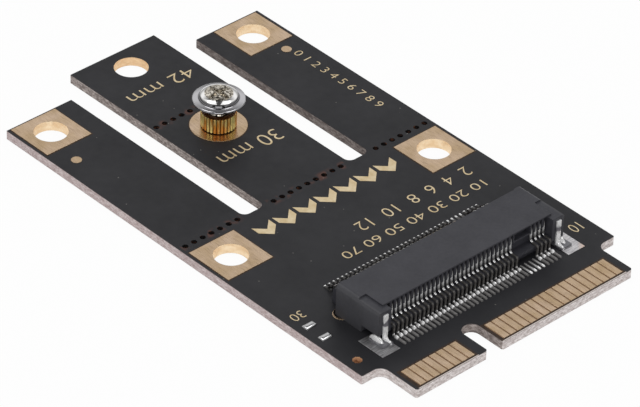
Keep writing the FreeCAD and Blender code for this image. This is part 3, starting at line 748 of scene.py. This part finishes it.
def bent_path(corners):
    """Straight runs joined by arcs; a corner is its place along X, level and bend radius."""
    path = []
    for index, (x, z, radius) in enumerate(corners):
        here = Vector((x, z))
        if radius == 0.0:
            path.append(here)
            continue
        back = (Vector(corners[index - 1][:2]) - here).normalized()
        ahead = (Vector(corners[index + 1][:2]) - here).normalized()
        half_angle = back.angle(ahead) / 2
        reach = radius / math.tan(half_angle)
        centre = here + (back + ahead).normalized() * radius / math.sin(half_angle)
        spoke = here + back * reach - centre
        turn = math.copysign(math.pi - 2 * half_angle, back.cross(ahead))
        for step in range(BEND_STEPS + 1):
            path.append(centre + Matrix.Rotation(turn * -step / BEND_STEPS, 2) @ spoke)
    return path


def strip_loops(path, y):
    """The section of a contact strip, a rectangle with eased edges, at each point of its path."""
    half, edge, wide = STRIP_HALF, STRIP_EDGE, CONTACT_HALF
    section = (
        (half, wide - edge), (half - edge, wide), (edge - half, wide), (-half, wide - edge),
        (-half, edge - wide), (edge - half, -wide), (half - edge, -wide), (half, edge - wide),
    )
    loops = []
    for index, point in enumerate(path):
        before = path[max(index - 1, 0)]
        after = path[min(index + 1, len(path) - 1)]
        along = (after - before).normalized()
        across = Vector((-along.y, along.x))
        loops.append([
            (point.x + across.x * out, y + side, point.y + across.y * out) for out, side in section
        ])
    return loops


# Bends of the contacts: place from the drive card's seat, height over the board and radius

REAR_BENDS = (
    (-1.75, 2.625, 0.0), (-1.30, 2.375, 0.30), (1.72, 2.68, 0.16), (1.76, 1.17, 0.34),
    (2.68, 1.15, 0.14), (2.60, STRIP_HALF, 0.18), (4.05, STRIP_HALF, 0.0),
)
FRONT_BENDS = (
    (-6.10, STRIP_HALF, 0.0), (-5.78, STRIP_HALF, 0.14), (-4.255, 1.35, 0.16),
    (-1.30, 1.725, 0.30), (-0.85, 1.475, 0.0),
)

# Lands of the contacts, and the film of solder on them

REAR_LAND = (SEAT + 2.58, SEAT + 4.14)
FRONT_LAND = (SEAT - 6.24, SEAT - 5.30)
FILM_INSET = 0.06
FILM_FOOT_HALF = 0.132
FILM_FOOT = 0.03
FILM_TOP_HALF = 0.112
FILM_RISE = 0.11
FILM_SPREAD = (0.8, 1.15)
LUMP_SPREAD = (0.85, 1.12)

# Solder of the contacts: place from the drive card's seat, half width and height

REAR_EMPTY = (
    (2.60, 0.03, 0.045), (2.90, 0.05, 0.05), (3.30, 0.06, 0.07), (3.55, 0.09, 0.12),
    (3.80, 0.12, 0.17), (4.00, 0.12, 0.14), (4.10, 0.08, 0.06),
)
FRONT_EMPTY = (
    (-6.26, 0.05, 0.05), (-6.20, 0.10, 0.10), (-6.10, 0.11, 0.13), (-6.00, 0.08, 0.09),
    (-5.92, 0.04, 0.05),
)
REAR_HEEL = (
    (2.60, 0.10, 0.42), (2.66, 0.12, 0.38), (2.71, 0.09, 0.24), (2.76, 0.05, 0.14),
    (2.82, 0.10, 0.18), (2.90, 0.15, 0.26), (3.02, 0.17, 0.29), (3.14, 0.165, 0.25),
    (3.23, 0.15, 0.18), (3.30, 0.11, 0.11),
)
FRONT_TOE = (
    (-6.27, 0.05, 0.05), (-6.22, 0.11, 0.12), (-6.14, 0.12, 0.18), (-6.06, 0.11, 0.17),
    (-5.99, 0.06, 0.10),
)


def contact_strips(name, bends, places, node):
    """One row of bent contacts, in place of the plain strips of the model."""
    path = bent_path([(SEAT + x, TOP + z, radius) for x, z, radius in bends])
    shell = Shell()
    for y in places:
        shell.loft(strip_loops(path, y))
    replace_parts(shell.piece(name, CONTACT, "contact"), node)


def contact_lands(name, filled, empty, land, material):
    """The lands under one row of contacts, with a dull film of solder along each foot."""
    shell = Shell()
    for y in filled + empty:
        shell.plate(land_outline(*land, y), TOP, COPPER_TOP)
    low_end = land[0] + FILM_INSET
    high_end = land[1] - FILM_INSET
    for y in filled:
        rise = FILM_RISE * chance.uniform(*FILM_SPREAD)
        shell.loft([
            [(x, y - half, TOP + level) for x in (low_end, high_end)]
            + [(x, y + half, TOP + level) for x in (high_end, low_end)]
            for half, level in ((FILM_FOOT_HALF, FILM_FOOT), (FILM_TOP_HALF, rise))
        ])
    shell.piece(name, material, "solder", SOLDER_SMOOTH)


def contact_solder(name, filled, empty, lump, ridge):
    """A bright lump of solder at each foot of a row, and a ridge along each empty land."""
    shell = Shell()
    for y in filled:
        solder_ridge(shell, SEAT, y, lump, chance.uniform(*LUMP_SPREAD))
    for y in empty:
        solder_ridge(shell, SEAT, y, ridge)
    shell.piece(name, SOLDER, "solder", SOLDER_SMOOTH)


for row, first, counts, bends, land, film, lump, ridge in (
    ("rear", REAR_FIRST, REAR_COUNTS, REAR_BENDS, REAR_LAND, FOOT_SOLDER, REAR_HEEL, REAR_EMPTY),
    ("front", FRONT_FIRST, FRONT_COUNTS, FRONT_BENDS, FRONT_LAND, FRONT_SOLDER, FRONT_TOE, FRONT_EMPTY),
):
    filled, empty = row_places(first, counts)
    contact_strips("contacts_" + row, bends, filled, "socket_contacts_" + row)
    contact_lands("lands_" + row, filled, empty, land, film)
    contact_solder("solder_" + row, filled, empty, lump, ridge)


# Solder of the clips: place from the back of the upright, half width and height

LENS_STEPS = 18
LENS_WIDTH_POWER = 0.6
LENS_RISE_POWER = 0.7


def lens(low, high, half, rise):
    """Stations of a lens of solder between two places along X."""
    stations = []
    for step in range(1, LENS_STEPS):
        share = step / LENS_STEPS
        swell = math.sin(math.pi * share)
        x = low + share * (high - low)
        stations.append((x, half * swell ** LENS_WIDTH_POWER, rise * swell ** LENS_RISE_POWER))
    return stations


CLIP_LENS = lens(low=-1.35, high=0.42, half=0.30, rise=0.62)
CLIP_FILLET = (
    (-0.02, 0.20, 1.00), (0.04, 0.22, 0.74), (0.12, 0.23, 0.52), (0.22, 0.22, 0.40),
    (0.32, 0.19, 0.34), (0.42, 0.17, 0.33), (0.52, 0.18, 0.32), (0.62, 0.16, 0.26),
    (0.72, 0.09, 0.12),
)
CLIP_LENS_MIDDLE = 10.83
UPRIGHT_MIDDLE = 10.25
UPRIGHT_BACK = 20.43


def clip_solder(name, side):
    """A lens of solder beside the foot of a clip, and a fillet behind its upright."""
    shell = Shell()
    for y, stations in ((CLIP_LENS_MIDDLE, CLIP_LENS), (UPRIGHT_MIDDLE, CLIP_FILLET)):
        solder_ridge(shell, UPRIGHT_BACK, side * y, stations)
    shell.piece(name, SOLDER, "solder", SOLDER_SMOOTH)


clip_solder("solder_near", -1)
clip_solder("solder_far", 1)


# Small tinned lands

PILLOW_RISE = 0.17
PILLOW_ROWS = 8
PILLOW_CLOSE = 0.98
PILLOW_CORNER = 0.08
PILLOW_CORNER_STEPS = 4


def pillow(name, material, slot):
    """A cushion of solder on the plan of a small land, in place of the model's bevelled plate."""
    low, high = node_box(name)
    middle = (low + high) / 2
    reach = (high - low) / 2
    loops = []
    for row in range(PILLOW_ROWS + 1):
        turn = math.pi / 2 * row / PILLOW_ROWS
        inset = min(reach.x, reach.y) * (1 - math.cos(turn)) * PILLOW_CLOSE
        half_x, half_y = reach.x - inset, reach.y - inset
        corner = min(PILLOW_CORNER, half_x, half_y)
        loop = []
        for quarter, (sign_x, sign_y) in enumerate(((1, 1), (-1, 1), (-1, -1), (1, -1))):
            for step in range(PILLOW_CORNER_STEPS + 1):
                angle = math.pi / 2 * (quarter + step / PILLOW_CORNER_STEPS)
                loop.append((
                    middle.x + sign_x * (half_x - corner) + corner * math.cos(angle),
                    middle.y + sign_y * (half_y - corner) + corner * math.sin(angle),
                    low.z + PILLOW_RISE * math.sin(turn),
                ))
        loops.append(loop)
    shell = Shell()
    shell.loft(loops)
    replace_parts(shell.piece(name + "_pillow", material, slot, PILLOW_SMOOTH), name)


for jumper in ("jumper_land_a", "jumper_land_b"):
    pillow(jumper, JUMPER, "solder")


# Rings of the peg holes

PEG_RING_NARROW = 0.02
PEG_RING_WIDE = 0.19
PEG_RING_EASE = 0.01
PEG_RING_TURN = math.radians(65)
PEG_RING_STEPS = 64


def peg_ring(name, side):
    """A plated ring round the mouth of a peg hole, which was drilled off the ring's middle."""
    middle = Vector((PEG_HOLE[0], side * PEG_HOLE[1], TOP))

    def rim(angle):
        offset = max(math.cos(angle - side * PEG_RING_TURN), 0.0)
        return PEG_RADIUS + PEG_RING_NARROW + (PEG_RING_WIDE - PEG_RING_NARROW) * offset

    def eased_rim(angle):
        return rim(angle) - PEG_RING_EASE

    section = (
        (PEG_RADIUS, TOP), (rim, TOP), (rim, COPPER_TOP - PEG_RING_EASE),
        (eased_rim, COPPER_TOP), (PEG_RADIUS, COPPER_TOP),
    )
    shell = Shell()
    shell.tube([ring(middle, PEG_RING_STEPS, radius, level) for radius, level in section])
    shell.piece(name, GOLD, "gold_land")


peg_ring("peg_ring_near", -1)
peg_ring("peg_ring_far", 1)


# Print

PRINT_THICK = 0.012
FIGURE_OFFSET = -0.012
FIGURE_STEPS = 4


def lettering(name, text, low, high, along_x=False):
    """Plain figures that fill a rectangle of the plan; they read along -Y, or along +X."""
    curve = bpy.data.curves.new(name, "FONT")
    curve.body = text
    curve.extrude = 1.0
    curve.offset = FIGURE_OFFSET
    curve.resolution_u = FIGURE_STEPS
    maker = bpy.data.objects.new(name + "_curve", curve)
    bpy.context.scene.collection.objects.link(maker)
    shaped = maker.evaluated_get(bpy.context.evaluated_depsgraph_get())
    mesh = bpy.data.meshes.new_from_object(shaped)
    bpy.data.objects.remove(maker)
    left = min(vertex.co.x for vertex in mesh.vertices)
    right = max(vertex.co.x for vertex in mesh.vertices)
    foot = min(vertex.co.y for vertex in mesh.vertices)
    head = max(vertex.co.y for vertex in mesh.vertices)
    for vertex in mesh.vertices:
        across = (vertex.co.x - left) / (right - left)
        up = (vertex.co.y - foot) / (head - foot)
        share_x, share_y = (across, up) if along_x else (up, 1 - across)
        level = TOP + PRINT_THICK if vertex.co.z > 0 else TOP
        vertex.co = MM * Vector((
            low[0] + share_x * (high[0] - low[0]),
            low[1] + share_y * (high[1] - low[1]),
            level,
        ))
    mesh.materials.clear()
    mesh.materials.append(PRINT)
    show(name, mesh)


lettering("print_long_length", "42 mm", (-21.0, -3.5), (-19.5, 3.9))
lettering("print_short_length", "30 mm", (-8.7, -3.5), (-7.0, 3.3))
lettering("print_row_numbers", "2  4  6  8  10  12", (6.6, -1.1), (7.9, 12.3))
lettering("print_place_numbers", "10 20 30 40 50 60 70", (9.0, -4.9), (10.0, 12.0))
lettering("print_arm_numbers", "0 1 2 3 4 5 6 7 8 9", (-16.4, 12.75), (-5.0, 13.65), along_x=True)
lettering("print_far_number", "10", (18.9, 12.8), (20.1, 13.9))
lettering("print_near_number", "30", (12.6, -14.2), (13.6, -12.9))

ARROW_COUNT = 7
ARROW_LOW = Vector((1.3, -8.4))
ARROW_HIGH = Vector((3.2, 8.4))
ARROW_PITCH = (ARROW_HIGH.y - ARROW_LOW.y) / ARROW_COUNT
ARROW_FILL = 0.84
ARROW_HALF = ARROW_FILL * ARROW_PITCH / 2
ARROW_BAR = 0.95


def insertion_arrows():
    """A row of chevrons that point into the socket, the way that a card goes in."""
    shell = Shell()
    for place in range(ARROW_COUNT):
        y = ARROW_LOW.y + ARROW_PITCH * (place + 0.5)
        back, front = ARROW_LOW.x, ARROW_HIGH.x
        shell.plate([
            (back, y - ARROW_HALF), (back + ARROW_BAR, y - ARROW_HALF), (front, y),
            (back + ARROW_BAR, y + ARROW_HALF), (back, y + ARROW_HALF), (front - ARROW_BAR, y),
        ], TOP, TOP + PRINT_THICK)
    shell.piece("print_arrows", PRINT, "gold_land")


insertion_arrows()


# Screw

SCREW_STEPS = 192
THREAD_PITCH = 0.4
THREAD_RADIUS = 1.0
THREAD_DEPTH = 0.13
THREAD_ROWS = 8
THREAD_LEAD = 0.1
SHANK_LENGTH = 3.0
TIP_RADIUS = 0.72
NECK_RADIUS = 0.9
HEAD_RADIUS = 1.84
HEAD_BASE = 0.30
COLLAR_PROFILE = (
    (2.33, 0.0), (2.39, 0.03), (2.41, 0.08), (2.41, 0.17), (2.38, 0.22), (2.32, 0.25),
    (1.94, 0.25), (1.87, 0.27), (HEAD_RADIUS, HEAD_BASE),
)
HEAD_RISE = 0.60
HEAD_FULLNESS = 2.3
HEAD_ROWS = 96
CROSS_TURN = math.radians(2.4)
CROSS_REACH = 1.22
CROSS_HALF = 0.27
CROSS_SLOPE = 0.16
CROSS_DEPTH = 0.44
CROSS_TAPER = 0.18
DENT_GRAIN = 0.26
DENT_DEPTH = 0.035
DENT_REACH = (1.06, 1.32)


def thread_radius(angle, z):
    """A ridge that climbs one pitch in each turn."""
    turn = (z / THREAD_PITCH - angle / (2 * math.pi)) % 1.0
    return THREAD_RADIUS - THREAD_DEPTH * abs(2 * turn - 1)


def recess_depth(radius, angle):
    """How far the cross recess lies below the head."""
    along = abs(radius * math.cos(angle - CROSS_TURN))
    across = abs(radius * math.sin(angle - CROSS_TURN))
    inside = max(
        min(CROSS_REACH - along, CROSS_HALF - across),
        min(CROSS_REACH - across, CROSS_HALF - along),
    )
    share = min(max(inside / CROSS_SLOPE, 0.0), 1.0)
    return share * (CROSS_DEPTH - CROSS_TAPER * radius)


def head_level(radius):
    """The height of the pan head over its base: full at the rim and nearly flat on top."""
    share = min(radius / HEAD_RADIUS, 1.0)
    return HEAD_RISE * (1 - share ** HEAD_FULLNESS) ** (1 / HEAD_FULLNESS)


def dent(radius, angle):
    """How far the driver has bruised the crown at a point of the head; not at all near the rim."""
    start, end = DENT_REACH
    share = min(max((end - radius) / (end - start), 0.0), 1.0)
    point = Vector((radius * math.cos(angle), radius * math.sin(angle), 0.0))
    return share * DENT_DEPTH * noise.noise(point / DENT_GRAIN)


def screw_piece():
    """The collared screw: thread, collar, pan head and cross recess in one closed skin."""
    low = node_box("screw")[0]
    middle = node_middle("screw")
    underside = low.z + SHANK_LENGTH
    loops = []

    def add(radius, level):
        loops.append(ring(middle, SCREW_STEPS, radius, level))

    add(TIP_RADIUS, low.z)
    rows = int((SHANK_LENGTH - 2 * THREAD_LEAD) / THREAD_PITCH * THREAD_ROWS)
    for row in range(rows):
        z = low.z + THREAD_LEAD + row * THREAD_PITCH / THREAD_ROWS
        add(lambda angle: thread_radius(angle, z), z)
    add(NECK_RADIUS, underside)
    for radius, level in COLLAR_PROFILE:
        add(radius, underside + level)
    for row in range(1, HEAD_ROWS):
        radius = HEAD_RADIUS * math.cos(math.pi / 2 * row / HEAD_ROWS)
        level = underside + HEAD_BASE + head_level(radius)
        add(radius, lambda angle: level - recess_depth(radius, angle) + dent(radius, angle))
    shell = Shell()
    shell.loft(loops)
    return shell.piece("screw_turned", NICKEL, "screw", TURNED_SMOOTH)


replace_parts(screw_piece(), "screw")


# Standoff

KNURL_COUNT = 30
KNURL_DEPTH = 0.13
KNURL_STEPS = 8
STANDOFF_RADIUS = 1.65
SPIGOT_RADIUS = 1.30
BORE_RADIUS = 1.02
BORE_EASE = 0.12
RIM_EASE = 0.10
TOP_FALL = 0.01
UNDERCUT = 0.06


def knurl_radius(angle):
    """Round ridges with sharp valleys between them."""
    phase = (angle * KNURL_COUNT / (2 * math.pi)) % 1.0
    return STANDOFF_RADIUS - KNURL_DEPTH * abs(2 * phase - 1) ** 2


def standoff_piece():
    """The knurled nut: bore, eased top, ridges, undercut foot and the spigot in the board."""
    low, high = node_box("standoff")
    foot = COPPER_TOP + UNDERCUT
    inner = STANDOFF_RADIUS - KNURL_DEPTH - UNDERCUT
    profile = (
        (BORE_RADIUS, low.z), (SPIGOT_RADIUS, low.z), (SPIGOT_RADIUS, COPPER_TOP),
        (inner, COPPER_TOP), (inner, foot), (knurl_radius, foot + RIM_EASE / 2),
        (knurl_radius, high.z - RIM_EASE), (inner, high.z - TOP_FALL),
        (BORE_RADIUS + BORE_EASE, high.z), (BORE_RADIUS, high.z - BORE_EASE),
    )
    steps = KNURL_COUNT * KNURL_STEPS
    shell = Shell()
    shell.tube([ring(STANDOFF, steps, radius, level) for radius, level in profile])
    return shell.piece("standoff_turned", BRASS, "standoff", TURNED_SMOOTH)


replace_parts(standoff_piece(), "standoff")


# Studio

CAMERA_PLACE_M = (0.22319, -0.21214, 0.22323)
CAMERA_LOOK = Vector((-0.58446, 0.55857, -0.58856))
CAMERA_UP = Vector((-0.44804, 0.38260, 0.80801))
CAMERA_LENS = 243.0
CAMERA_SENSOR = 36.0
CAMERA_NEAR_M = 0.01
CAMERA_FAR_M = 20.0


def ray_share(tree, *kinds):
    """1 for rays of these kinds, and 0 for others."""
    path = tree.nodes.new("ShaderNodeLightPath")
    share = Field(path.outputs[kinds[0]])
    for kind in kinds[1:]:
        share = share.either(Field(path.outputs[kind]))
    return share


SEEN_RAYS = ("Is Camera Ray", "Is Glossy Ray", "Is Transmission Ray")
ROOM_LIGHT = 0.6
WHITE = (1.0, 1.0, 1.0, 1.0)

# The mirrored studio: where its parts end along a unit direction, and how bright or dark they are

SKY_EDGE = (0.60, 0.82)
SKY_LEVEL = 0.22
WALL_EDGE = (0.25, 0.45)
WALL_LEVEL = 0.45
SIDE_EDGE = (0.60, 0.72)
SIDE_LEVEL = 0.6
BOX_FAR = -0.41
BOX_NEAR = 0.28
BOX_LOW = 0.62
BOX_INNER = 0.11
BOX_OUTER = 0.62
GAP_DARK = 0.75
ROOM_NEAR = 0.42
ROOM_SPREAD = 0.7
ROOM_DARK = 0.92


def along(tree, direction, axis):
    """How far a direction points along an axis."""
    node = tree.nodes.new("ShaderNodeVectorMath")
    node.operation = "DOT_PRODUCT"
    node.inputs[1].default_value = axis
    tree.links.new(direction, node.inputs[0])
    return Field(node.outputs["Value"])


def mirrored_studio(tree):
    """How bright each direction looks in the metal.

    White walls that darken to the floor and the sides, a grey ceiling with two soft boxes and a
    dark gap between them, and the dark room behind the camera.
    """
    direction = tree.nodes.new("ShaderNodeTexCoord").outputs["Generated"]
    back = Vector((-CAMERA_LOOK.x, -CAMERA_LOOK.y, 0.0)).normalized()
    up = along(tree, direction, (0.0, 0.0, 1.0))
    behind = along(tree, direction, back)
    aside = along(tree, direction, back.cross(Vector((0.0, 0.0, 1.0)))).size()
    sky = up.ramp(*SKY_EDGE, 1.0, SKY_LEVEL) * up.ramp(*WALL_EDGE, WALL_LEVEL, 1.0)
    sky = sky * aside.ramp(*SIDE_EDGE, 1.0, SIDE_LEVEL)
    overhead = behind.above(BOX_FAR) * behind.below(BOX_NEAR) * up.above(BOX_LOW)
    sky = sky.either(overhead * aside.above(BOX_INNER) * aside.below(BOX_OUTER))
    gap = overhead * aside.below(BOX_INNER)
    room = behind.above(ROOM_NEAR) * (aside - behind * ROOM_SPREAD).below(0.0)
    return sky * gap.inverse(GAP_DARK) * room.inverse(ROOM_DARK)


def studio_world():
    """White all round for the camera, and the mirrored studio for metal."""
    world = bpy.data.worlds.new("studio")
    world.use_nodes = True
    tree = world.node_tree
    room = tree.nodes["Background"]
    room.inputs["Color"].default_value = WHITE
    room.inputs["Strength"].default_value = ROOM_LIGHT
    backdrop = tree.nodes.new("ShaderNodeBackground")
    backdrop.inputs["Color"].default_value = WHITE
    sky = mirrored_studio(tree)
    sky = sky.either(Field(tree.nodes.new("ShaderNodeLightPath").outputs["Is Camera Ray"]))
    tree.links.new(sky.socket, backdrop.inputs["Strength"])
    mix = tree.nodes.new("ShaderNodeMixShader")
    tree.links.new(ray_share(tree, *SEEN_RAYS).socket, mix.inputs[0])
    tree.links.new(room.outputs[0], mix.inputs[1])
    tree.links.new(backdrop.outputs[0], mix.inputs[2])
    tree.links.new(mix.outputs[0], tree.nodes["World Output"].inputs["Surface"])
    bpy.context.scene.world = world


FLOOR_HALF_M = 3.0
FLOOR_DROP_M = 0.00002
FLOOR_SHADOW = 0.05
PAPER = (0.9, 0.9, 0.9, 1.0)


def studio_floor():
    """A white sheet that shows as the background and keeps a faint shadow of the object."""
    half, level = FLOOR_HALF_M, -FLOOR_DROP_M
    mesh = bpy.data.meshes.new("floor")
    corners = [(-half, -half, level), (half, -half, level), (half, half, level), (-half, half, level)]
    mesh.from_pydata(corners, [], [(0, 1, 2, 3)])
    material = bpy.data.materials.new("floor_finish")
    material.use_nodes = True
    tree = material.node_tree
    paper = tree.nodes["Principled BSDF"]
    paper.inputs["Base Color"].default_value = PAPER
    paper.inputs["Roughness"].default_value = 1.0
    paper.inputs["Specular IOR Level"].default_value = 0.0
    glow = tree.nodes.new("ShaderNodeEmission")
    mix = tree.nodes.new("ShaderNodeMixShader")
    share = ray_share(tree, *SEEN_RAYS) * (1 - FLOOR_SHADOW)
    tree.links.new(share.socket, mix.inputs[0])
    tree.links.new(paper.outputs[0], mix.inputs[1])
    tree.links.new(glow.outputs[0], mix.inputs[2])
    tree.links.new(mix.outputs[0], tree.nodes["Material Output"].inputs["Surface"])
    mesh.materials.append(material)
    floor = bpy.data.objects.new("floor", mesh)
    bpy.context.scene.collection.objects.link(floor)


OVERHEAD_PLACE_M = Vector((-0.06, 0.055, 0.44))
OVERHEAD_ASIDE_M = Vector((0.69, 0.72, 0.0)) * 0.17
OVERHEAD_SIDE_M = 0.16
OVERHEAD_WATTS = 0.225
FILL_PLACE_M = Vector((0.45, -0.42, 0.25))
FILL_SIDE_M = 0.4
FILL_WATTS = 0.9


def soft_box(name, place_m, side_m, watts):
    """A square lamp that faces the object."""
    lamp = bpy.data.lights.new(name, "AREA")
    lamp.shape = "SQUARE"
    lamp.size = side_m
    lamp.energy = watts
    holder = bpy.data.objects.new(name, lamp)
    holder.location = place_m
    holder.rotation_euler = (-place_m).to_track_quat("-Z", "Y").to_euler()
    bpy.context.scene.collection.objects.link(holder)


def camera():
    """The camera that sees the card as the photograph does."""
    view = bpy.data.cameras.new("camera")
    view.lens = CAMERA_LENS
    view.sensor_width = CAMERA_SENSOR
    view.sensor_fit = "HORIZONTAL"
    view.clip_start = CAMERA_NEAR_M
    view.clip_end = CAMERA_FAR_M
    holder = bpy.data.objects.new("camera", view)
    holder.location = CAMERA_PLACE_M
    axes = (CAMERA_LOOK.cross(CAMERA_UP), CAMERA_UP, -CAMERA_LOOK)
    holder.rotation_euler = Matrix(axes).transposed().to_euler()
    bpy.context.scene.collection.objects.link(holder)
    bpy.context.scene.camera = holder


studio_world()
studio_floor()
for side, sign in (("left", -1), ("right", 1)):
    place_m = OVERHEAD_PLACE_M + OVERHEAD_ASIDE_M * sign
    soft_box("overhead_lamp_" + side, place_m, OVERHEAD_SIDE_M, OVERHEAD_WATTS)
soft_box("fill_lamp", FILL_PLACE_M, FILL_SIDE_M, FILL_WATTS)
camera()
bpy.context.scene.view_settings.view_transform = "Standard"
